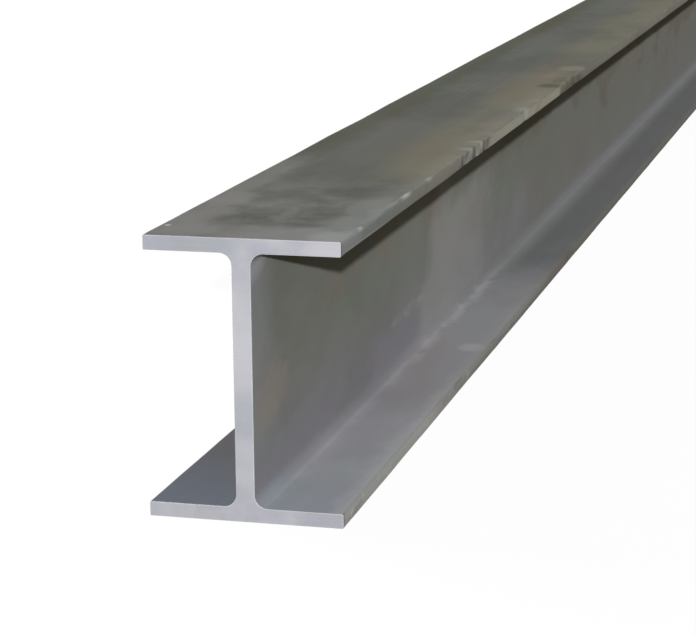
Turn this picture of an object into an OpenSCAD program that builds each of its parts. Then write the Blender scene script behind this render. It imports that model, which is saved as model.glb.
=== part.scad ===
// Hot-rolled steel I-beam with parallel flanges: one bar of stock, sawn square at both ends.
// The bar runs along Y and lies on its lower flange. X is across the flanges and Z is up.
// The origin is the middle of the lower flange's underside.

/* [Section] */
// Depth over both flanges
section_depth = 200; // [120:1:400]
// Width of each flange, from toe to toe
flange_width = 140; // [90:1:300]
// Thickness of each flange
flange_thickness = 10.5; // [6:0.1:25]
// Thickness of the web
web_thickness = 13.5; // [5:0.1:25]
// Radius of the rolled fillets where the web runs into the flanges
root_radius = 9; // [4:0.5:18]
// Radius of the rolled corners along the flange toes
toe_radius = 1; // [0.4:0.1:2.5]

/* [Bar] */
// Length between the two sawn ends
bar_length = 6000; // [1000:100:15000]

/* [Hidden] */

// Smoothness of the rolled curves
$fn = 96;

// Colour of bare mill-finished steel
mill_steel = [0.43, 0.43, 0.42];

// Height of a flange's middle plane above or below the middle of the web
flange_offset = (section_depth - flange_thickness) / 2;
// Height of the web between the inner faces of the flanges
web_clear_height = section_depth - 2 * flange_thickness;
// How far the web and the fillets run into the flanges, so that they fuse
fuse_depth = flange_thickness / 2;

// Section of one flange, centred, with its four toe corners rolled round
module flange_section() {
    square([flange_width - 2 * toe_radius, flange_thickness], center = true);
    square([flange_width, flange_thickness - 2 * toe_radius], center = true);
    for (side = [-1, 1], face = [-1, 1])
        translate([side * (flange_width / 2 - toe_radius), face * (flange_thickness / 2 - toe_radius)])
            circle(toe_radius);
}

// Section of the web, centred, with its two edges inside the flanges
module web_section() {
    square([web_thickness, web_clear_height + 2 * fuse_depth], center = true);
}

// Section of one root fillet: a corner at the origin, filled in the first quadrant
module root_fillet() {
    difference() {
        translate([-web_thickness / 2, -fuse_depth])
            square([web_thickness / 2 + root_radius, fuse_depth + root_radius]);
        translate([root_radius, root_radius])
            circle(root_radius);
    }
}

// The whole rolled section, centred on the middle of the web
module beam_section() {
    for (end = [-1, 1])
        translate([0, end * flange_offset])
            flange_section();
    web_section();
    for (side = [0, 1], end = [0, 1])
        mirror([side, 0])
            mirror([0, end])
                translate([web_thickness / 2, -web_clear_height / 2])
                    root_fillet();
}

// The bar: its section drawn out along Y, resting on Z = 0
module i_beam() {
    color(mill_steel)
        translate([0, bar_length / 2, section_depth / 2])
            rotate([90, 0, 0])
                linear_extrude(height = bar_length)
                    beam_section();
}

i_beam();
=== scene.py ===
"""Looks of a hot-rolled steel I-beam: a bar of mill-finished stock, sawn square at both ends.

The bar runs along Y and lies on its lower flange. All lengths are in metres.
"""
import math

import bmesh
import bpy
from mathutils import Matrix, Vector


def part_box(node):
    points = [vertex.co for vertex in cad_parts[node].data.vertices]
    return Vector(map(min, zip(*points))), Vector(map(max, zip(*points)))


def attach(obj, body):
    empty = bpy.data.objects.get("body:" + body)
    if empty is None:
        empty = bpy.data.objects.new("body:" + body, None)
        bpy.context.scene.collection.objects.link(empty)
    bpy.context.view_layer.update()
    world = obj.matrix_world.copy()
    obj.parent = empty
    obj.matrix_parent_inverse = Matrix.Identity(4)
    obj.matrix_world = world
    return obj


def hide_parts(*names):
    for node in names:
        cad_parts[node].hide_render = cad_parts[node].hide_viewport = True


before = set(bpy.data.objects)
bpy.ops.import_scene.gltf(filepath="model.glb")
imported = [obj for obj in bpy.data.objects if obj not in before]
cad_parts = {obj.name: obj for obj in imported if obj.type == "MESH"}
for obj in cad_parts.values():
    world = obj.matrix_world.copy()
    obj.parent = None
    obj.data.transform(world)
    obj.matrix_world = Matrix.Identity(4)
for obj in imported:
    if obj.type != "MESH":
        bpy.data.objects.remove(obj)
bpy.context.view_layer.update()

# Section of the bar
LOW_CORNER, HIGH_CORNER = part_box("i_beam")
LENGTH = HIGH_CORNER.y - LOW_CORNER.y
DEPTH = HIGH_CORNER.z
FLANGE_WIDTH = HIGH_CORNER.x - LOW_CORNER.x
FLANGE = 0.0105
WEB = 0.0135
ROOT_RADIUS = 0.009
TOE_RADIUS = 0.001
OVERHANG = (FLANGE_WIDTH - WEB) / 2
HALF_WIDTH = FLANGE_WIDTH / 2
HALF_WEB = WEB / 2
NEAR_END = LOW_CORNER.y
FAR_END = HIGH_CORNER.y

# Edges of the saw cuts
SAWN_EDGE = 0.0005

# Smoothness of the rolled curves and the sawn edges
ROOT_SEGMENTS = 10
TOE_SEGMENTS = 5
SAWN_SEGMENTS = 2
SMOOTH_UNDER = math.radians(20)

# How close two places are to count as one: for edges, and for rings that were cut
SAME_PLACE = 1e-5
SAME_RING = 2e-4

# How much of a face's direction lies along an axis: a face square to it, any face of a saw cut
# with its bevels, and one that the map draws with the end
SQUARE_ON = 0.9
ON_SAW_CUT = 0.3
DRAWN_WITH_END = 0.7

# Cuts across the section, so that the rolled faces can wave a little
FLANGE_CUTS = (0.020, 0.032, 0.044, 0.054, 0.061, 0.066)
WEB_CUTS = (0.032, 0.050, 0.070, 0.088, 0.112, 0.130, 0.150, 0.168)

# Stretches of the bar from the near end: where each stops, and about how far apart its rings are
STRETCHES = (
    (0.39, 0.012),
    (0.51, 0.002),
    (0.67, 0.012),
    (0.71, 0.002),
    (0.89, 0.012),
    (1.05, 0.002),
    (LENGTH, 0.049),
)

# Gouges across the upper flange's right toe: place from the near end, half width and depth
GOUGES = (
    (0.407, 0.0090, 0.0008),
    (0.432, 0.0060, 0.0004),
    (0.455, 0.0070, 0.0007),
    (0.476, 0.0055, 0.0004),
    (0.495, 0.0080, 0.0008),
    (0.690, 0.0120, 0.0006),
    (0.912, 0.0180, 0.0007),
    (0.948, 0.0120, 0.0005),
    (1.002, 0.0240, 0.0010),
)
# How far in from the edge and down from the top a gouge is felt
GOUGE_REACH = 0.012
GOUGE_DROP = 1.2 * FLANGE

# Scuffs on the same toe: place from the near end, half width and colour
TOE_MARKS = (
    (0.406, 0.018, (88, 82, 92)),
    (0.427, 0.010, (152, 151, 148)),
    (0.448, 0.009, (92, 88, 90)),
    (0.471, 0.011, (154, 154, 150)),
    (0.498, 0.020, (86, 86, 82)),
    (0.692, 0.024, (150, 158, 150)),
    (0.760, 0.018, (150, 134, 126)),
    (0.908, 0.016, (112, 109, 96)),
    (0.940, 0.012, (106, 104, 92)),
    (0.966, 0.014, (100, 98, 86)),
    (1.006, 0.020, (84, 82, 70)),
)
SCUFF_LEAN = 1.2

# Stretches of the same edge's top corner that are rubbed bright: place, half length and strength
RUBBED_STRETCHES = (
    (0.055, 0.010, 0.7),
    (0.158, 0.030, 0.20),
    (0.194, 0.022, 0.9),
    (0.272, 0.014, 0.3),
)

# Marks on top of the upper flange: middle and reach, each across and along, and strength
PALE_PATCHES = (
    ((0.036, 0.014), (0.066, 0.056), 0.92),
    ((0.056, 0.115), (0.018, 0.095), 0.55),
    ((0.070, 0.118), (0.012, 0.060), 0.85),
    ((-0.008, 0.135), (0.034, 0.040), 0.30),
    ((-0.056, 0.070), (0.026, 0.070), 0.60),
    ((-0.062, 0.260), (0.022, 0.150), 0.50),
    ((-0.054, 0.155), (0.022, 0.045), 0.65),
    ((-0.045, 0.020), (0.034, 0.030), 0.70),
)
DARK_STAINS = (
    ((-0.016, 0.070), (0.026, 0.030), 0.60),
    ((0.026, 0.092), (0.024, 0.030), 0.55),
    ((0.012, 0.140), (0.018, 0.034), 0.50),
    ((0.024, 0.190), (0.034, 0.060), 0.30),
    ((0.060, 1.095), (0.012, 0.045), 1.00),
)

# Scrapes across the same flange's right edge: middle and reach, each across and along, colour
# and strength
SCRAPES = (
    ((0.060, 0.890), (0.016, 0.022), (80, 80, 70), 0.70),
    ((0.063, 0.940), (0.010, 0.036), (92, 91, 80), 0.55),
    ((0.044, 0.985), (0.011, 0.030), (126, 112, 103), 0.45),
    ((0.057, 1.055), (0.020, 0.034), (132, 129, 116), 0.50),
)

# Dull and bright patches on the sawn ends: middle and reach, each across and up, colour and
# strength
SAWN_PATCHES = (
    ((0.0, 0.122), (0.030, 0.064), (176, 176, 180), 0.7),
    ((0.068, 0.195), (0.028, 0.020), (176, 175, 179), 0.7),
    ((-0.030, 0.195), (0.034, 0.020), (148, 151, 156), 0.8),
    ((0.0, 0.074), (0.030, 0.024), (150, 154, 160), 0.6),
    ((0.0, 0.044), (0.030, 0.022), (172, 174, 178), 0.5),
    ((0.064, 0.005), (0.030, 0.020), (150, 151, 159), 0.5),
)

# Unevenness left by the rolls: size of the waves and their height
ROLL_WAVES = ((0.11, 0.0007), (0.035, 0.0002))

# Dirt and painted shade in the roots, painted shade on corners, and the slight tints of the scale:
# what they leave of a colour
ROOT_DIRT_AND_SHADE = (0.70, 0.70, 0.71, 1.0)
CORNER_SHADE = (0.78, 0.78, 0.79, 1.0)
GREEN_TINGE = (0.955, 1.0, 0.97, 1.0)
RED_TINGE = (1.0, 0.95, 0.935, 1.0)

# Map of the surface, for writing the finish down: half the way round the section, the gap between
# its pieces, its free rim, and the place along the bar where a length gets half the room
MAP_NAME = "OFBake"
HALF_GIRTH = 2 * FLANGE_WIDTH - WEB + DEPTH
MAP_GAP = 0.010
MAP_RIM = 0.003
MAP_EASING = 1.5

# Camera, measured from the middle of the near end's underside
CAMERA_PLACE = Vector((0.4498, -1.4289, 0.4797))
CAMERA_AIM = Vector((0.0067, 0.2585, 0.0887))
CAMERA_ROLL = math.radians(-0.547)
SENSOR_WIDTH = 36
CAMERA_LENS = 116.81

# Light: a level of 1 shows a colour as it is written on a face that looks at the light
KEY_TRAVEL = Vector((-0.247, 0.939, -0.239))
KEY_LEVEL = 2.0
KEY_SPREAD = math.radians(1.0)
BACK_TRAVEL = Vector((0.85, -0.40, -0.33))
BACK_LEVEL = 0.8
BACK_SPREAD = math.radians(40.0)
LIGHT_DISTANCE = 2.0
LIGHT_TINT = (0.98, 0.98, 1.0)
CEILING_LEVEL = 0.42
HORIZON_LEVEL = 0.12
CEILING_TINT = (1.0, 1.0, 0.97, 1.0)
FLOOR_SIZE = 400
FLOOR_TINT = (0.25, 0.22, 0.15, 1.0)
FLOOR_WHITE_SHARE = 0.94
WHITE = (1.0, 1.0, 1.0, 1.0)


def paint(red, green, blue):
    """A colour from its three 8-bit values, as the shader wants it."""
    def linear(value):
        share = value / 255
        return share / 12.92 if share <= 0.04045 else ((share + 0.055) / 1.055) ** 2.4
    return (linear(red), linear(green), linear(blue), 1.0)


class Value:
    """A number that changes over a surface: a socket that can stand in a sum."""

    def __init__(self, finish, socket):
        self.finish = finish
        self.socket = socket

    def __add__(self, other):
        return self.finish.math("ADD", self, other)

    __radd__ = __add__

    def __sub__(self, other):
        return self.finish.math("SUBTRACT", self, other)

    def __rsub__(self, other):
        return self.finish.math("SUBTRACT", other, self)

    def __mul__(self, other):
        return self.finish.math("MULTIPLY", self, other)

    __rmul__ = __mul__

    def __truediv__(self, other):
        return self.finish.math("DIVIDE", self, other)

    def __abs__(self):
        return self.finish.math("ABSOLUTE", self)


class Finish:
    """A node tree being built, with short ways to add its nodes."""

    def __init__(self, tree):
        self.nodes = tree.nodes
        self.links = tree.links
        self.nodes.clear()

    def add(self, kind, settings=None, sockets=None):
        """Adds any node: first its settings, then a value or a link for each of its sockets."""
        node = self.nodes.new(kind)
        for name, value in (settings or {}).items():
            setattr(node, name, value)
        for key, value in (sockets or {}).items():
            if isinstance(value, Value):
                self.links.new(value.socket, node.inputs[key])
            elif isinstance(value, bpy.types.NodeSocket):
                self.links.new(value, node.inputs[key])
            else:
                node.inputs[key].default_value = value
        return node

    def value(self, socket):
        return Value(self, socket)

    def math(self, operation, *terms):
        node = self.add("ShaderNodeMath", {"operation": operation}, dict(enumerate(terms)))
        return self.value(node.outputs[0])

    def coordinates(self):
        """The place on the piece, as a vector and as its three parts."""
        place = self.add("ShaderNodeTexCoord").outputs["Object"]
        parts = self.add("ShaderNodeSeparateXYZ", sockets={0: place}).outputs
        return place, *(self.value(part) for part in parts)

    def stretched(self, vector, scale, shift=(0, 0, 0)):
        """A vector moved and then scaled along each axis."""
        for operation, amount in (("ADD", shift), ("MULTIPLY", scale)):
            node = self.add("ShaderNodeVectorMath", {"operation": operation}, {0: vector, 1: amount})
            vector = node.outputs[0]
        return vector

    def noise(self, vector, scale, detail, roughness):
        node = self.add(
            "ShaderNodeTexNoise",
            sockets={"Vector": vector, "Scale": scale, "Detail": detail, "Roughness": roughness},
        )
        return self.value(node.outputs[0])

    def smooth(self, value, low, high):
        """Rises smoothly from 0 at low to 1 at high."""
        node = self.add(
            "ShaderNodeMapRange",
            {"interpolation_type": "SMOOTHSTEP"},
            {"Value": value, "From Min": low, "From Max": high},
        )
        return self.value(node.outputs[0])

    def between(self, value, start, full, fading, stop):
        """Rises from 0 at start to 1 at full, and falls from fading to 0 again at stop."""
        return self.smooth(value, start, full) * self.smooth(value, stop, fading)

    def mix(self, first, second, share, blend="MIX"):
        """The first colour where share is 0, and the second, or the blend of both, where it is 1."""
        settings = {"data_type": "RGBA", "blend_type": blend}
        return self.add("ShaderNodeMix", settings, {0: share, 6: first, 7: second}).outputs[2]

    def spot(self, first, second, middle, reach):
        """An oval mark, 1 at its middle and 0 past its reach, over two directions."""
        across = (first - middle[0]) / reach[0]
        down = (second - middle[1]) / reach[1]
        return self.smooth(across * across + down * down, 1.0, 0.1)

    def bump(self, height, distance, strength):
        sockets = {"Height": height, "Distance": distance, "Strength": strength}
        return self.add("ShaderNodeBump", sockets=sockets).outputs[0]

    def seen(self):
        """1 for what the camera sees, straight or in a reflection, and 0 for light on its way."""
        path = self.add("ShaderNodeLightPath").outputs
        seen = self.math("MAXIMUM", path["Is Camera Ray"], path["Is Glossy Ray"])
        return self.math("MAXIMUM", seen, path["Is Transmission Ray"])

    def mix_shaders(self, first, second, share):
        """The first shader where share is 0, and the second where it is 1."""
        sockets = {0: share, 1: first.outputs[0], 2: second.outputs[0]}
        return self.add("ShaderNodeMixShader", sockets=sockets)

    def surface(self, shader):
        self.add("ShaderNodeOutputMaterial", sockets={"Surface": shader.outputs[0]})


def new_material(name, kind=Finish):
    """A material, and the finish that builds its nodes."""
    material = bpy.data.materials.new(name)
    material.use_nodes = True
    return material, kind(material.node_tree)


class MillScale(Finish):
    """Rolled faces: grey mill scale with stains, rolling streaks, rust tints and rubbed edges."""

    def __init__(self, tree):
        super().__init__(tree)
        self.place, self.x, y, self.z = self.coordinates()
        self.along = y - NEAR_END
        # Large clouds, hand-sized patches, streaks along the bar and fine grain
        self.clouds = self.pattern((1.0, 0.45, 1.0), (0, 0, 0), 11.0, 5.0, 0.6)
        self.patches = self.pattern((1.0, 0.8, 1.0), (3.1, 7.7, 1.9), 26.0, 4.0, 0.6)
        self.streaks = self.pattern((120.0, 1.6, 120.0), (0, 0, 0), 1.0, 3.0, 0.6)
        self.grain = self.noise(self.place, 420.0, 3.0, 0.6)
        # Where the scale is rubbed, where it is tinted, and small blotches
        self.rubbing = self.pattern((1.0, 0.3, 1.0), (4.4, 0.6, 8.2), 60.0, 4.0, 0.65)
        self.tints = self.pattern((1.0, 0.25, 1.0), (2.6, 4.9, 7.3), 17.0, 3.0, 0.55)
        self.mottling = self.pattern((1.0, 0.8, 1.0), (6.2, 3.4, 0.7), 48.0, 4.0, 0.65)
        # Places pushed about a little, so that no stain has an even edge
        wander = self.pattern((1.0, 0.7, 1.0), (9.3, 2.2, 5.1), 30.0, 4.0, 0.6) - 0.5
        self.stain_x = self.x + 0.025 * wander
        self.stain_along = self.along + 0.070 * wander
        self.stain_z = self.z + 0.030 * wander
        self.drift = self.stain_along + 0.5 * (self.clouds - 0.5)

    def pattern(self, stretch, shift, scale, detail, roughness):
        """Noise on the bar, moved to a part of its own and stretched along each axis."""
        return self.noise(self.stretched(self.place, stretch, shift), scale, detail, roughness)

    def upper_face(self):
        """Top of the upper flange: weathered, stained near the end, olive-brown along one edge."""
        x, along = self.stain_x, self.stain_along
        dull = self.smooth(self.clouds, 0.42, 0.62)
        colour = self.mix(paint(100, 101, 96), paint(89, 90, 86), dull * 0.6)
        front = self.smooth(along, 0.32, 0.14) * self.smooth(self.patches, 0.40, 0.62)
        colour = self.mix(colour, paint(120, 120, 117), front * 0.6)
        for middle, reach, strength in PALE_PATCHES:
            patch = self.spot(x, along, middle, reach)
            colour = self.mix(colour, paint(126, 126, 124), patch * strength)
        scraped = self.spot(x, along, (0.062, 0.014), (0.026, 0.036))
        colour = self.mix(colour, paint(146, 146, 145), scraped * 0.55)
        broken = 0.4 + 0.6 * self.smooth(self.mottling, 0.58, 0.42)
        for middle, reach, strength in DARK_STAINS:
            stain = self.spot(x, along, middle, reach) * broken
            colour = self.mix(colour, paint(84, 85, 80), stain * strength)
        right = self.smooth(x, -0.005, 0.040) * self.smooth(along, 0.20, 0.34)
        olive = right * (0.4 + 0.5 * self.smooth(self.clouds, 0.62, 0.4))
        colour = self.mix(colour, paint(112, 110, 96), olive)
        brown = right * self.smooth(self.patches, 0.55, 0.68)
        colour = self.mix(colour, paint(118, 106, 96), brown * 0.45)
        left = self.smooth(x, -0.026, -0.058) * self.smooth(along, 0.30, 0.42)
        colour = self.mix(colour, paint(80, 81, 68), left * 0.6)
        by_toe = self.smooth(x, 0.044, 0.068) * self.between(along, 0.17, 0.25, 0.80, 0.92)
        colour = self.mix(colour, paint(138, 136, 123), by_toe * 0.28)
        for middle, reach, tone, strength in SCRAPES:
            scrape = self.spot(self.x, self.along, middle, reach)
            colour = self.mix(colour, paint(*tone), scrape * strength)
        return self.scuffed(colour, self.smooth(self.x, 0.054, 0.068) * 0.3)

    def scuffed(self, colour, share):
        """Lays the leaning scuffs of the upper flange's right edge over a colour."""
        leaning = self.along - SCUFF_LEAN * (self.z - DEPTH + FLANGE / 2)
        for place, half_width, tone in TOE_MARKS:
            band = self.smooth(abs(leaning - place), half_width, 0.3 * half_width)
            colour = self.mix(colour, paint(*tone), band * share)
        return colour

    def web_face(self):
        """Sides of the web: olive-grey above, purple-grey below, with a paler stretch along it that is
        a painted reflection, painted shade under the upper flange and painted light in an upper root.
        """
        along, z = self.stain_along, self.stain_z
        colour = self.mix(paint(128, 127, 132), paint(122, 124, 119), self.smooth(z, 0.030, 0.100))
        colour = self.mix(colour, paint(109, 109, 104), self.smooth(self.clouds, 0.42, 0.62) * 0.35)
        # Painted reflection: a paler stretch with a leaning border, of something bright beside the bar
        border = self.along + 0.2 * (self.clouds - 0.5) - 0.9 * (z - 0.060)
        paler = self.smooth(border, 0.495, 0.565) * self.smooth(self.drift, 1.05, 0.62)
        colour = self.mix(colour, paint(144, 144, 143), paler * 0.8)
        colour = self.mix(colour, paint(119, 119, 113), self.smooth(self.drift, 0.76, 1.20) * 0.8)
        # Painted shade: darker olive just below the upper flange's shadow, from half a metre along
        ragged = self.smooth(self.along, 0.95, 1.60) * (self.clouds - 0.5)
        shade_under_flange = self.smooth(z + 0.30 * ragged, 0.108, 0.130) * self.smooth(along, 0.50, 0.72)
        colour = self.mix(colour, paint(104, 101, 88), shade_under_flange * 0.40)
        by_end = self.smooth(along, 0.080, 0.0) * (0.3 + 0.7 * self.smooth(z, 0.025, 0.065))
        colour = self.mix(colour, paint(142, 145, 150), by_end * 0.55)
        brown = self.spot(along, z, (0.40, 0.124), (0.36, 0.022))
        brown = brown * self.smooth(self.patches, 0.42, 0.60)
        colour = self.mix(colour, paint(132, 120, 110), brown * 0.45)
        reddish = self.spot(along, z, (0.048, 0.083), (0.050, 0.020))
        colour = self.mix(colour, paint(142, 134, 129), reddish * 0.5)
        yellowish = self.spot(along, z, (0.035, 0.070), (0.036, 0.014))
        colour = self.mix(colour, paint(138, 136, 125), yellowish * 0.5)
        scrape = self.spot(self.along, self.z, (0.470, 0.050), (0.080, 0.007))
        scrape = scrape * self.smooth(self.rubbing, 0.35, 0.60)
        colour = self.mix(colour, paint(152, 152, 150), scrape * 0.55)
        # Painted light: a pale patch on the upper root fillets by the near end, which face down and
        # get little light
        in_root = self.smooth(abs(self.x), HALF_WEB + 0.0060, HALF_WEB + 0.0010)
        bare = self.spot(self.along, self.z, (0.0, 0.185), (0.046, 0.020)) * in_root
        return self.mix(colour, paint(170, 174, 184), bare * 0.5)

    def lower_face(self):
        """Inside of the lower flange: blue-grey, with a darker stretch, a rubbed mark and a painted
        highlight along the root's foot.
        """
        along = self.stain_along
        colour = self.mix(paint(150, 153, 161), paint(157, 157, 162), self.smooth(along, 0.03, 0.12))
        colour = self.mix(colour, paint(147, 147, 150), self.smooth(along, 0.22, 0.34))
        colour = self.mix(colour, paint(138, 138, 142), self.smooth(self.clouds, 0.44, 0.64) * 0.35)
        dark = self.smooth(self.drift, 0.60, 1.02)
        colour = self.mix(colour, paint(104, 105, 105), dark * 0.85)
        colour = self.mix(colour, paint(150, 151, 150), dark * self.smooth(self.x, 0.036, 0.014) * 0.5)
        edge = self.smooth(self.stain_x, 0.054, 0.068) * self.smooth(along, 0.50, 0.30)
        colour = self.mix(colour, paint(176, 178, 178), edge * 0.45)
        by_toe = self.smooth(self.stain_x, 0.054, 0.070) * self.between(along, 0.36, 0.50, 0.65, 0.90)
        colour = self.mix(colour, paint(156, 156, 148), by_toe * 0.35)
        # Painted highlight: a pale, broken line along the foot of the root fillet, where the fillet
        # catches the light
        foot_highlight = self.smooth(abs(self.stain_x - 0.0165), 0.0075, 0.001) * self.smooth(along, 0.95, 0.70)
        foot_highlight = foot_highlight * self.smooth(self.patches, 0.38, 0.55)
        foot_highlight = foot_highlight * (0.45 + 0.55 * self.smooth(along, 0.38, 0.52))
        colour = self.mix(colour, paint(180, 181, 180), foot_highlight * 0.35)
        mark = self.spot(self.x, self.along, (0.0560, 0.503), (0.015, 0.020))
        colour = self.mix(colour, paint(178, 176, 184), mark * 0.45)
        left = self.mix(paint(95, 101, 110), paint(90, 90, 92), self.smooth(along, 0.0, 0.16))
        on_left = self.smooth(self.x, 0.0, -0.010) * self.smooth(along, 1.30, 0.60)
        return self.mix(colour, left, on_left * 0.9)

    def root_dirt_and_shade(self):
        """Dirt and painted shade in the lower root fillets, deepest at the middle of their curve."""
        beside_web = self.smooth(abs(self.x), HALF_WEB + 0.0080, HALF_WEB + 0.0030)
        thickness = 0.55 + 0.20 * self.smooth(self.along, 0.03, 0.09)
        thickness = thickness + 0.25 * self.smooth(abs(self.along - 0.25), 0.24, 0.12)
        return beside_web * self.smooth(self.z, FLANGE + 0.0110, FLANGE + 0.0040) * thickness

    def corner_shade(self):
        """Painted shade along the upper corners of the lower flange's edges."""
        out = self.smooth(abs(self.x), HALF_WIDTH - 0.0018, HALF_WIDTH - 0.0006)
        thickness = 0.6 + 0.4 * self.smooth(self.along, 0.42, 0.30)
        return out * self.smooth(abs(self.z - FLANGE), 0.0016, 0.0006) * thickness

    def toe_face(self):
        """Edges of the flanges: the upper one scuffed, with painted shade low down and past its far
        gouges, the lower one rubbed pale near the end, and a painted burr shadow on both just behind
        the cut.
        """
        along = self.stain_along
        dull = self.smooth(self.clouds, 0.4, 0.65)
        upper = self.mix(paint(127, 126, 118), paint(113, 112, 106), dull * 0.6)
        upper = self.mix(upper, paint(121, 123, 124), self.smooth(along, 0.26, 0.16) * 0.7)
        upper = self.mix(upper, paint(136, 138, 141), self.smooth(along, 0.08, 0.02) * 0.9)
        # Painted shade: the upper toe a little darker towards its bottom
        shaded_bottom = self.smooth(self.z, DEPTH - 0.003, DEPTH - FLANGE)
        upper = self.mix(upper, paint(90, 88, 78), shaded_bottom * 0.06)
        paler = self.smooth(abs(along - 0.71), 0.26, 0.16)
        paler = paler * (0.7 + 0.3 * self.smooth(self.z, DEPTH, DEPTH - 0.008))
        upper = self.mix(upper, paint(154, 153, 141), paler)
        # Dirt and painted shade past the far gouges, where the battered toe turns down: the whole toe
        # darker, darkest at its bottom
        grime_and_shade = self.between(self.along, 0.898, 0.922, 1.010, 1.065)
        thickness = 0.50 + 0.15 * self.smooth(self.along, 0.95, 1.00)
        upper = self.mix(upper, paint(92, 90, 79), grime_and_shade * thickness)
        shade_below = grime_and_shade * self.smooth(self.z, DEPTH - 0.0015, DEPTH - 0.0080)
        upper = self.mix(upper, paint(50, 48, 39), shade_below * 0.30)
        rims = self.smooth(abs(self.z - DEPTH + FLANGE / 2), 0.0022, 0.0048)
        rims = rims * self.smooth(along, 0.16, 0.08)
        upper = self.mix(upper, paint(160, 161, 160), rims * 0.5)
        upper = self.scuffed(upper, self.smooth(self.x, 0.0, 0.01) * 0.7)
        lower = self.mix(paint(128, 128, 124), paint(115, 114, 109), self.smooth(along, 0.55, 0.90))
        lower = self.mix(lower, paint(167, 168, 166), self.smooth(along, 0.50, 0.24) * 0.85)
        pale_rim = self.smooth(self.z, 0.0030, 0.0075) * self.between(along, 0.26, 0.42, 0.65, 0.95)
        lower = self.mix(lower, paint(150, 150, 147), pale_rim * 0.50)
        scuffs = self.smooth(self.mottling, 0.44, 0.34) * self.smooth(along, 0.5, 0.3)
        lower = self.mix(lower, paint(196, 196, 190), scuffs * 0.5)
        colour = self.mix(lower, upper, self.smooth(self.z, FLANGE, DEPTH - FLANGE))
        # Painted shadow of the saw's burr: a dark strip on both toes just behind the sawn end
        colour = self.mix(colour, paint(92, 90, 100), self.smooth(self.along, 0.0045, 0.0015) * 0.6)
        return self.mix(colour, paint(84, 82, 80), self.smooth(self.rubbing, 0.55, 0.70) * 0.25)

    def rubbed(self):
        """Where handling has rubbed the scale off: along the toes' corners and in a few specks."""
        out = self.smooth(abs(self.x), HALF_WIDTH - 0.0035, HALF_WIDTH - 0.0008)
        up = self.smooth(abs(self.z - DEPTH / 2), DEPTH / 2 - 0.0035, DEPTH / 2 - 0.0008)
        worn = self.smooth(self.rubbing, 0.48, 0.64) * 0.12
        upper_right = self.smooth(self.x, 0.0, 0.01) * self.smooth(self.z, DEPTH / 2, DEPTH - FLANGE)
        for place, half_length, strength in RUBBED_STRETCHES:
            stretch = self.smooth(abs(self.along - place), half_length, 0.1 * half_length)
            worn = worn + stretch * upper_right * (0.4 + self.rubbing) * strength
        on_top = self.smooth(self.z, DEPTH - 0.002, DEPTH - 0.001)
        speck = self.spot(self.x, self.along, (-0.0645, 0.038), (0.0030, 0.0045))
        return out * up * worn * 0.8 + speck * on_top * 0.6

    def colour(self):
        on_top = self.smooth(self.z, DEPTH - 0.0014, DEPTH - 0.0003)
        on_lower_flange = self.smooth(self.z, FLANGE + 0.012, FLANGE + 0.001)
        on_toe = self.smooth(abs(self.x), HALF_WIDTH - 0.0012, HALF_WIDTH - 0.0003)
        colour = self.mix(self.web_face(), self.lower_face(), on_lower_flange)
        colour = self.mix(colour, ROOT_DIRT_AND_SHADE, self.root_dirt_and_shade(), "MULTIPLY")
        colour = self.mix(colour, self.toe_face(), on_toe)
        colour = self.mix(colour, CORNER_SHADE, self.corner_shade(), "MULTIPLY")
        colour = self.mix(colour, self.upper_face(), on_top)
        colour = self.mix(colour, GREEN_TINGE, self.smooth(self.tints, 0.52, 0.68), "MULTIPLY")
        colour = self.mix(colour, RED_TINGE, self.smooth(self.tints, 0.48, 0.32), "MULTIPLY")
        colour = self.mix(colour, paint(136, 136, 136), self.smooth(self.streaks, 0.5, 0.75) * 0.08)
        return self.mix(colour, paint(80, 80, 77), self.smooth(self.grain, 0.55, 0.75) * 0.12)


def mill_scale():
    """Rolled faces: the mill scale as a material, bare where it is rubbed off."""
    material, finish = new_material("mill_scale", MillScale)
    rubbed = finish.rubbed()
    shader = finish.add(
        "ShaderNodeBsdfPrincipled",
        sockets={
            "Base Color": finish.mix(finish.colour(), paint(176, 176, 174), rubbed),
            "Roughness": 0.56 + 0.16 * finish.clouds - 0.2 * rubbed,
            "Metallic": 0.6 * rubbed,
            "Specular IOR Level": 0.0,
            "Coat Weight": 0.05 * finish.smooth(abs(finish.x), HALF_WEB + ROOT_RADIUS, HALF_WIDTH),
            "Coat Roughness": 0.65,
            "Normal": finish.bump(0.6 * finish.patches + 0.4 * finish.grain, 0.0004, 0.35),
        },
    )
    finish.surface(shader)
    return material


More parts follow.
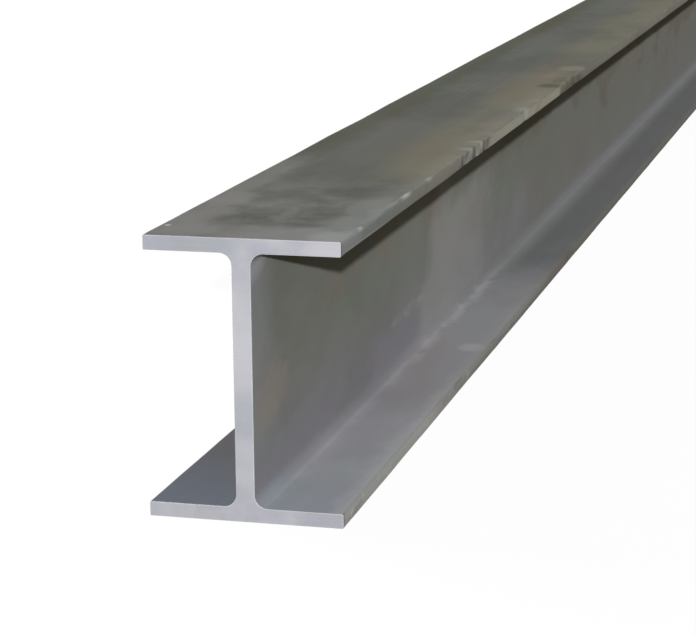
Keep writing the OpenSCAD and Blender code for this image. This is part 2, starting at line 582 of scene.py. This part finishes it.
def sawn_steel():
    """Sawn ends: bright bare steel with faint saw lines."""
    material, finish = new_material("sawn_steel")
    place, x, _, z = finish.coordinates()
    clouds = finish.noise(place, 28.0, 4.0, 0.6)
    tints = finish.noise(finish.stretched(place, (1.0, 1.0, 1.0), (5.3, 1.1, 2.7)), 34.0, 2.0, 0.5)
    lines = finish.noise(finish.stretched(place, (18.0, 1.0, 700.0)), 1.0, 2.0, 0.5)
    colour = finish.mix(paint(154, 155, 163), paint(164, 165, 170), finish.smooth(clouds, 0.35, 0.65))
    colour = finish.mix(colour, paint(165, 161, 174), finish.smooth(tints, 0.55, 0.70) * 0.6)
    colour = finish.mix(colour, paint(165, 165, 163), finish.smooth(tints, 0.45, 0.30) * 0.5)
    for middle, reach, tone, strength in SAWN_PATCHES:
        colour = finish.mix(colour, paint(*tone), finish.spot(x, z, middle, reach) * strength)
    colour = finish.mix(colour, paint(182, 182, 185), finish.smooth(lines, 0.5, 0.7) * 0.12)
    # The bevels round the cut don't look straight along the bar, and are duller than its flat
    slope = finish.add("ShaderNodeNewGeometry").outputs["True Normal"]
    facing = finish.value(finish.add("ShaderNodeSeparateXYZ", sockets={0: slope}).outputs[1])
    edge = finish.smooth(abs(facing), 0.99, 0.96)
    shader = finish.add(
        "ShaderNodeBsdfPrincipled",
        sockets={
            "Base Color": finish.mix(colour, paint(128, 128, 130), edge * 0.6),
            "Roughness": 0.28 + 0.08 * clouds + 0.40 * edge,
            "Metallic": 0.9 - 0.8 * edge,
            "Normal": finish.bump(lines, 0.0002, 0.2),
        },
    )
    finish.surface(shader)
    return material


def pick(kind, test):
    """Selects the faces or edges of the mesh being edited that pass a test, and nothing else."""
    mesh = bpy.context.object.data
    bpy.ops.mesh.select_mode(type=kind)
    bpy.ops.mesh.select_all(action="DESELECT")
    shape = bmesh.from_edit_mesh(mesh)
    for part in shape.faces if kind == "FACE" else shape.edges:
        if test(part):
            part.select_set(True)
    shape.select_flush_mode()
    bmesh.update_edit_mesh(mesh)


def cut(point, direction):
    """Cuts the whole mesh along a plane and keeps both sides."""
    bpy.ops.mesh.select_all(action="SELECT")
    bpy.ops.mesh.bisect(plane_co=point, plane_no=direction)


def near(first, second, slack=SAME_PLACE):
    return abs(first - second) < slack


def runs_along(edge):
    """Whether an edge lies along the bar."""
    first, second = (corner.co for corner in edge.verts)
    return near(first.x, second.x) and near(first.z, second.z) and not near(first.y, second.y)


def at_root(edge):
    """Whether an edge lies where the web meets a flange."""
    corner = edge.verts[0].co
    level = near(corner.z, FLANGE) or near(corner.z, DEPTH - FLANGE)
    return runs_along(edge) and near(abs(corner.x), HALF_WEB) and level


def at_toe(edge):
    """Whether an edge is a corner of a flange's toe."""
    return runs_along(edge) and near(abs(edge.verts[0].co.x), HALF_WIDTH)


def at_saw_cut(edge):
    """Whether an edge goes round one of the sawn ends."""
    ends = [abs(face.normal.y) > SQUARE_ON for face in edge.link_faces]
    return ends.count(True) == 1


def draw_section():
    """Draws the web out of a block, pulls the flanges from its sides and rounds roots and toes."""
    bpy.ops.mesh.primitive_cube_add(
        size=1, location=(0, (NEAR_END + FAR_END) / 2, DEPTH / 2), scale=(WEB, LENGTH, DEPTH)
    )
    beam = bpy.context.object
    beam.name = "i_beam_steel"
    bpy.ops.object.transform_apply(location=True, rotation=True, scale=True)
    bpy.ops.object.mode_set(mode="EDIT")
    for level in (FLANGE, DEPTH - FLANGE):
        cut((0, 0, level), (0, 0, 1))
    for side in (-1, 1):
        def beside_flange(face):
            middle = face.calc_center_median()
            in_flange = middle.z < FLANGE or middle.z > DEPTH - FLANGE
            return in_flange and face.normal.x * side > SQUARE_ON
        pick("FACE", beside_flange)
        bpy.ops.mesh.extrude_region_move(TRANSFORM_OT_translate={"value": (side * OVERHANG, 0, 0)})
    pick("FACE", lambda face: abs(face.normal.y) > SQUARE_ON)
    bpy.ops.mesh.dissolve_faces()
    pick("EDGE", at_root)
    bpy.ops.mesh.bevel(offset=ROOT_RADIUS, segments=ROOT_SEGMENTS, affect="EDGES")
    pick("EDGE", at_toe)
    bpy.ops.mesh.bevel(offset=TOE_RADIUS, segments=TOE_SEGMENTS, affect="EDGES")
    pick("EDGE", at_saw_cut)
    bpy.ops.mesh.bevel(offset=SAWN_EDGE, segments=SAWN_SEGMENTS, affect="EDGES")
    return beam


def divide_bar():
    """Cuts the faces into strips and rings, close together where the edge is knocked about."""
    for place in FLANGE_CUTS:
        for side in (-1, 1):
            cut((side * place, 0, 0), (1, 0, 0))
    for level in WEB_CUTS:
        cut((0, 0, level), (0, 0, 1))
    start = 0
    for stop, spacing in STRETCHES:
        first = NEAR_END + max(start, SAWN_EDGE)
        last = NEAR_END + stop
        if stop < LENGTH:
            cut((0, last, 0), (0, 1, 0))
        else:
            last = FAR_END - SAWN_EDGE
        def in_stretch(edge):
            ends = sorted(corner.co.y for corner in edge.verts)
            spans = near(ends[0], first, SAME_RING) and near(ends[1], last, SAME_RING)
            return runs_along(edge) and spans
        pick("EDGE", in_stretch)
        bpy.ops.mesh.subdivide(number_cuts=round((stop - start) / spacing) - 1)
        start = stop


def roll_unevenly(beam):
    """Gives the rolled faces the slight waves that the rolls leave."""
    for number, (size, height) in enumerate(ROLL_WAVES):
        waves = bpy.data.textures.new(f"roll_waves_{number}", "CLOUDS")
        waves.noise_scale = size
        waves.noise_depth = 1
        shift = beam.modifiers.new(f"roll_waves_{number}", "DISPLACE")
        shift.texture = waves
        shift.texture_coords = "LOCAL"
        shift.mid_level = 0.5
        shift.strength = height
        shift.vertex_group = "rolled_faces"
        bpy.ops.object.modifier_apply(modifier=shift.name)


def gouge_toe(beam):
    """Knocks shallow scallops into the upper flange's right edge, inwards and down."""
    deepest = max(depth for place, half_width, depth in GOUGES)
    inward_group = beam.vertex_groups.new(name="pushed_in")
    down_group = beam.vertex_groups.new(name="pushed_down")
    for corner in beam.data.vertices:
        inward = HALF_WIDTH - corner.co.x
        below = DEPTH - corner.co.z
        if inward > GOUGE_REACH or below > GOUGE_DROP:
            continue
        for place, half_width, depth in GOUGES:
            off = (corner.co.y - NEAR_END - place) / half_width
            if abs(off) < 1:
                share = depth / deepest * (1 - off * off) * min(1, 1 - inward / GOUGE_REACH)
                inward_group.add([corner.index], share, "REPLACE")
                down_group.add([corner.index], share * max(0, 1 - below / FLANGE), "REPLACE")
    for name, direction in (("pushed_in", "X"), ("pushed_down", "Z")):
        push = beam.modifiers.new(name, "DISPLACE")
        push.direction = direction
        push.mid_level = 0
        push.strength = -deepest
        push.vertex_group = name
        bpy.ops.object.modifier_apply(modifier=name)


def way_round(corner, side):
    """How far a point lies from the middle of the top, round one side of the section."""
    upper = corner.z > DEPTH / 2
    inward = DEPTH - corner.z if upper else corner.z
    outward = side * corner.x
    if inward > FLANGE / 2:
        outward = FLANGE_WIDTH - outward
    return outward + inward if upper else HALF_GIRTH - outward - inward


def lay_out_map(beam):
    """Unrolls the bar on a map, with more room near its end, and lays the sawn ends beside it."""
    mesh = beam.data
    places = mesh.uv_layers.new(name=MAP_NAME).uv
    sleeve_width = 2 * HALF_GIRTH + WEB
    map_width = sleeve_width + FLANGE_WIDTH + 3 * MAP_GAP
    whole_length = math.log1p(LENGTH / MAP_EASING)
    for face in mesh.polygons:
        side = 1 if face.center.x > -HALF_WEB / 2 else -1
        sawn = abs(face.normal.y) > DRAWN_WITH_END
        for loop in face.loop_indices:
            corner = mesh.vertices[mesh.loops[loop].vertex_index].co
            if sawn:
                along = (corner.z / DEPTH + (0 if corner.y < 0 else 1)) / 2
                across = sleeve_width + 2 * MAP_GAP + corner.x + HALF_WIDTH
            else:
                along = math.log1p((corner.y - NEAR_END) / MAP_EASING) / whole_length
                across = MAP_GAP + HALF_GIRTH + side * way_round(corner, side)
            places[loop].vector = (MAP_RIM + (1 - 2 * MAP_RIM) * along, across / map_width)


def model_beam():
    """Makes the whole bar, with its finishes and its map, and puts it in the CAD node's place."""
    bpy.ops.object.select_all(action="DESELECT")
    beam = draw_section()
    divide_bar()
    beam.data.materials.append(mill_scale())
    beam.data.materials.append(sawn_steel())
    pick("FACE", lambda face: abs(face.normal.y) > ON_SAW_CUT)
    beam.active_material_index = 1
    bpy.ops.object.material_slot_assign()
    inside = LENGTH / 2 - 2 * SAWN_EDGE
    pick("FACE", lambda face: all(abs(corner.co.y) < inside for corner in face.verts))
    bpy.ops.object.vertex_group_assign_new()
    beam.vertex_groups[-1].name = "rolled_faces"
    bpy.ops.object.mode_set(mode="OBJECT")
    roll_unevenly(beam)
    gouge_toe(beam)
    bpy.ops.object.shade_smooth_by_angle(angle=SMOOTH_UNDER)
    lay_out_map(beam)
    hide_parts("i_beam")
    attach(beam, "root")


def lay_floor():
    """A white floor that keeps the bar's shadow."""
    bpy.ops.object.select_all(action="DESELECT")
    bpy.ops.mesh.primitive_plane_add(size=FLOOR_SIZE)
    floor = bpy.context.object
    floor.name = "studio_floor"
    material, finish = new_material("studio_white")
    seen = finish.seen()
    matt = finish.add("ShaderNodeBsdfDiffuse", sockets={"Color": finish.mix(FLOOR_TINT, WHITE, seen)})
    white = finish.add("ShaderNodeEmission", sockets={"Color": WHITE, "Strength": 1.0})
    finish.surface(finish.mix_shaders(matt, white, seen * FLOOR_WHITE_SHARE))
    floor.data.materials.append(material)


def hang_light(name, travel, level, spread):
    """Hangs a light that shines the way it is told to, as wide as its spread."""
    bpy.ops.object.light_add(type="SUN", location=-LIGHT_DISTANCE * travel)
    light = bpy.context.object
    light.name = name
    light.rotation_euler = travel.to_track_quat("-Z", "Y").to_euler()
    light.data.energy = level * math.pi
    light.data.angle = spread
    light.data.color = LIGHT_TINT


def light_studio():
    """A key light from beside the camera, a soft light from behind and an even white room."""
    hang_light("key_light", KEY_TRAVEL, KEY_LEVEL, KEY_SPREAD)
    hang_light("back_light", BACK_TRAVEL, BACK_LEVEL, BACK_SPREAD)
    world = bpy.data.worlds.new("studio_room")
    world.use_nodes = True
    bpy.context.scene.world = world
    finish = Finish(world.node_tree)
    direction = finish.add("ShaderNodeTexCoord").outputs["Generated"]
    rise = finish.value(finish.add("ShaderNodeSeparateXYZ", sockets={0: direction}).outputs[2])
    level = HORIZON_LEVEL + (CEILING_LEVEL - HORIZON_LEVEL) * finish.math("MAXIMUM", rise, 0.0)
    fill = finish.add("ShaderNodeBackground", sockets={"Color": CEILING_TINT, "Strength": level})
    white = finish.add("ShaderNodeBackground", sockets={"Color": WHITE, "Strength": 1.0})
    room = finish.mix_shaders(fill, white, finish.seen())
    finish.add("ShaderNodeOutputWorld", sockets={"Surface": room.outputs[0]})


def set_camera():
    """Sets the camera up where the photograph was taken from."""
    near_end = Vector((0, NEAR_END, 0))
    camera = bpy.data.objects.new("camera", bpy.data.cameras.new("camera"))
    bpy.context.scene.collection.objects.link(camera)
    facing = (CAMERA_AIM - CAMERA_PLACE).to_track_quat("-Z", "Y").to_matrix().to_4x4()
    camera.matrix_world = (
        Matrix.Translation(near_end + CAMERA_PLACE) @ facing @ Matrix.Rotation(CAMERA_ROLL, 4, "Z")
    )
    camera.data.sensor_width = SENSOR_WIDTH
    camera.data.lens = CAMERA_LENS
    camera.data.clip_end = 2 * FLOOR_SIZE
    bpy.context.scene.camera = camera


set_camera()
model_beam()
lay_floor()
light_studio()
bpy.context.scene.view_settings.view_transform = "Standard"
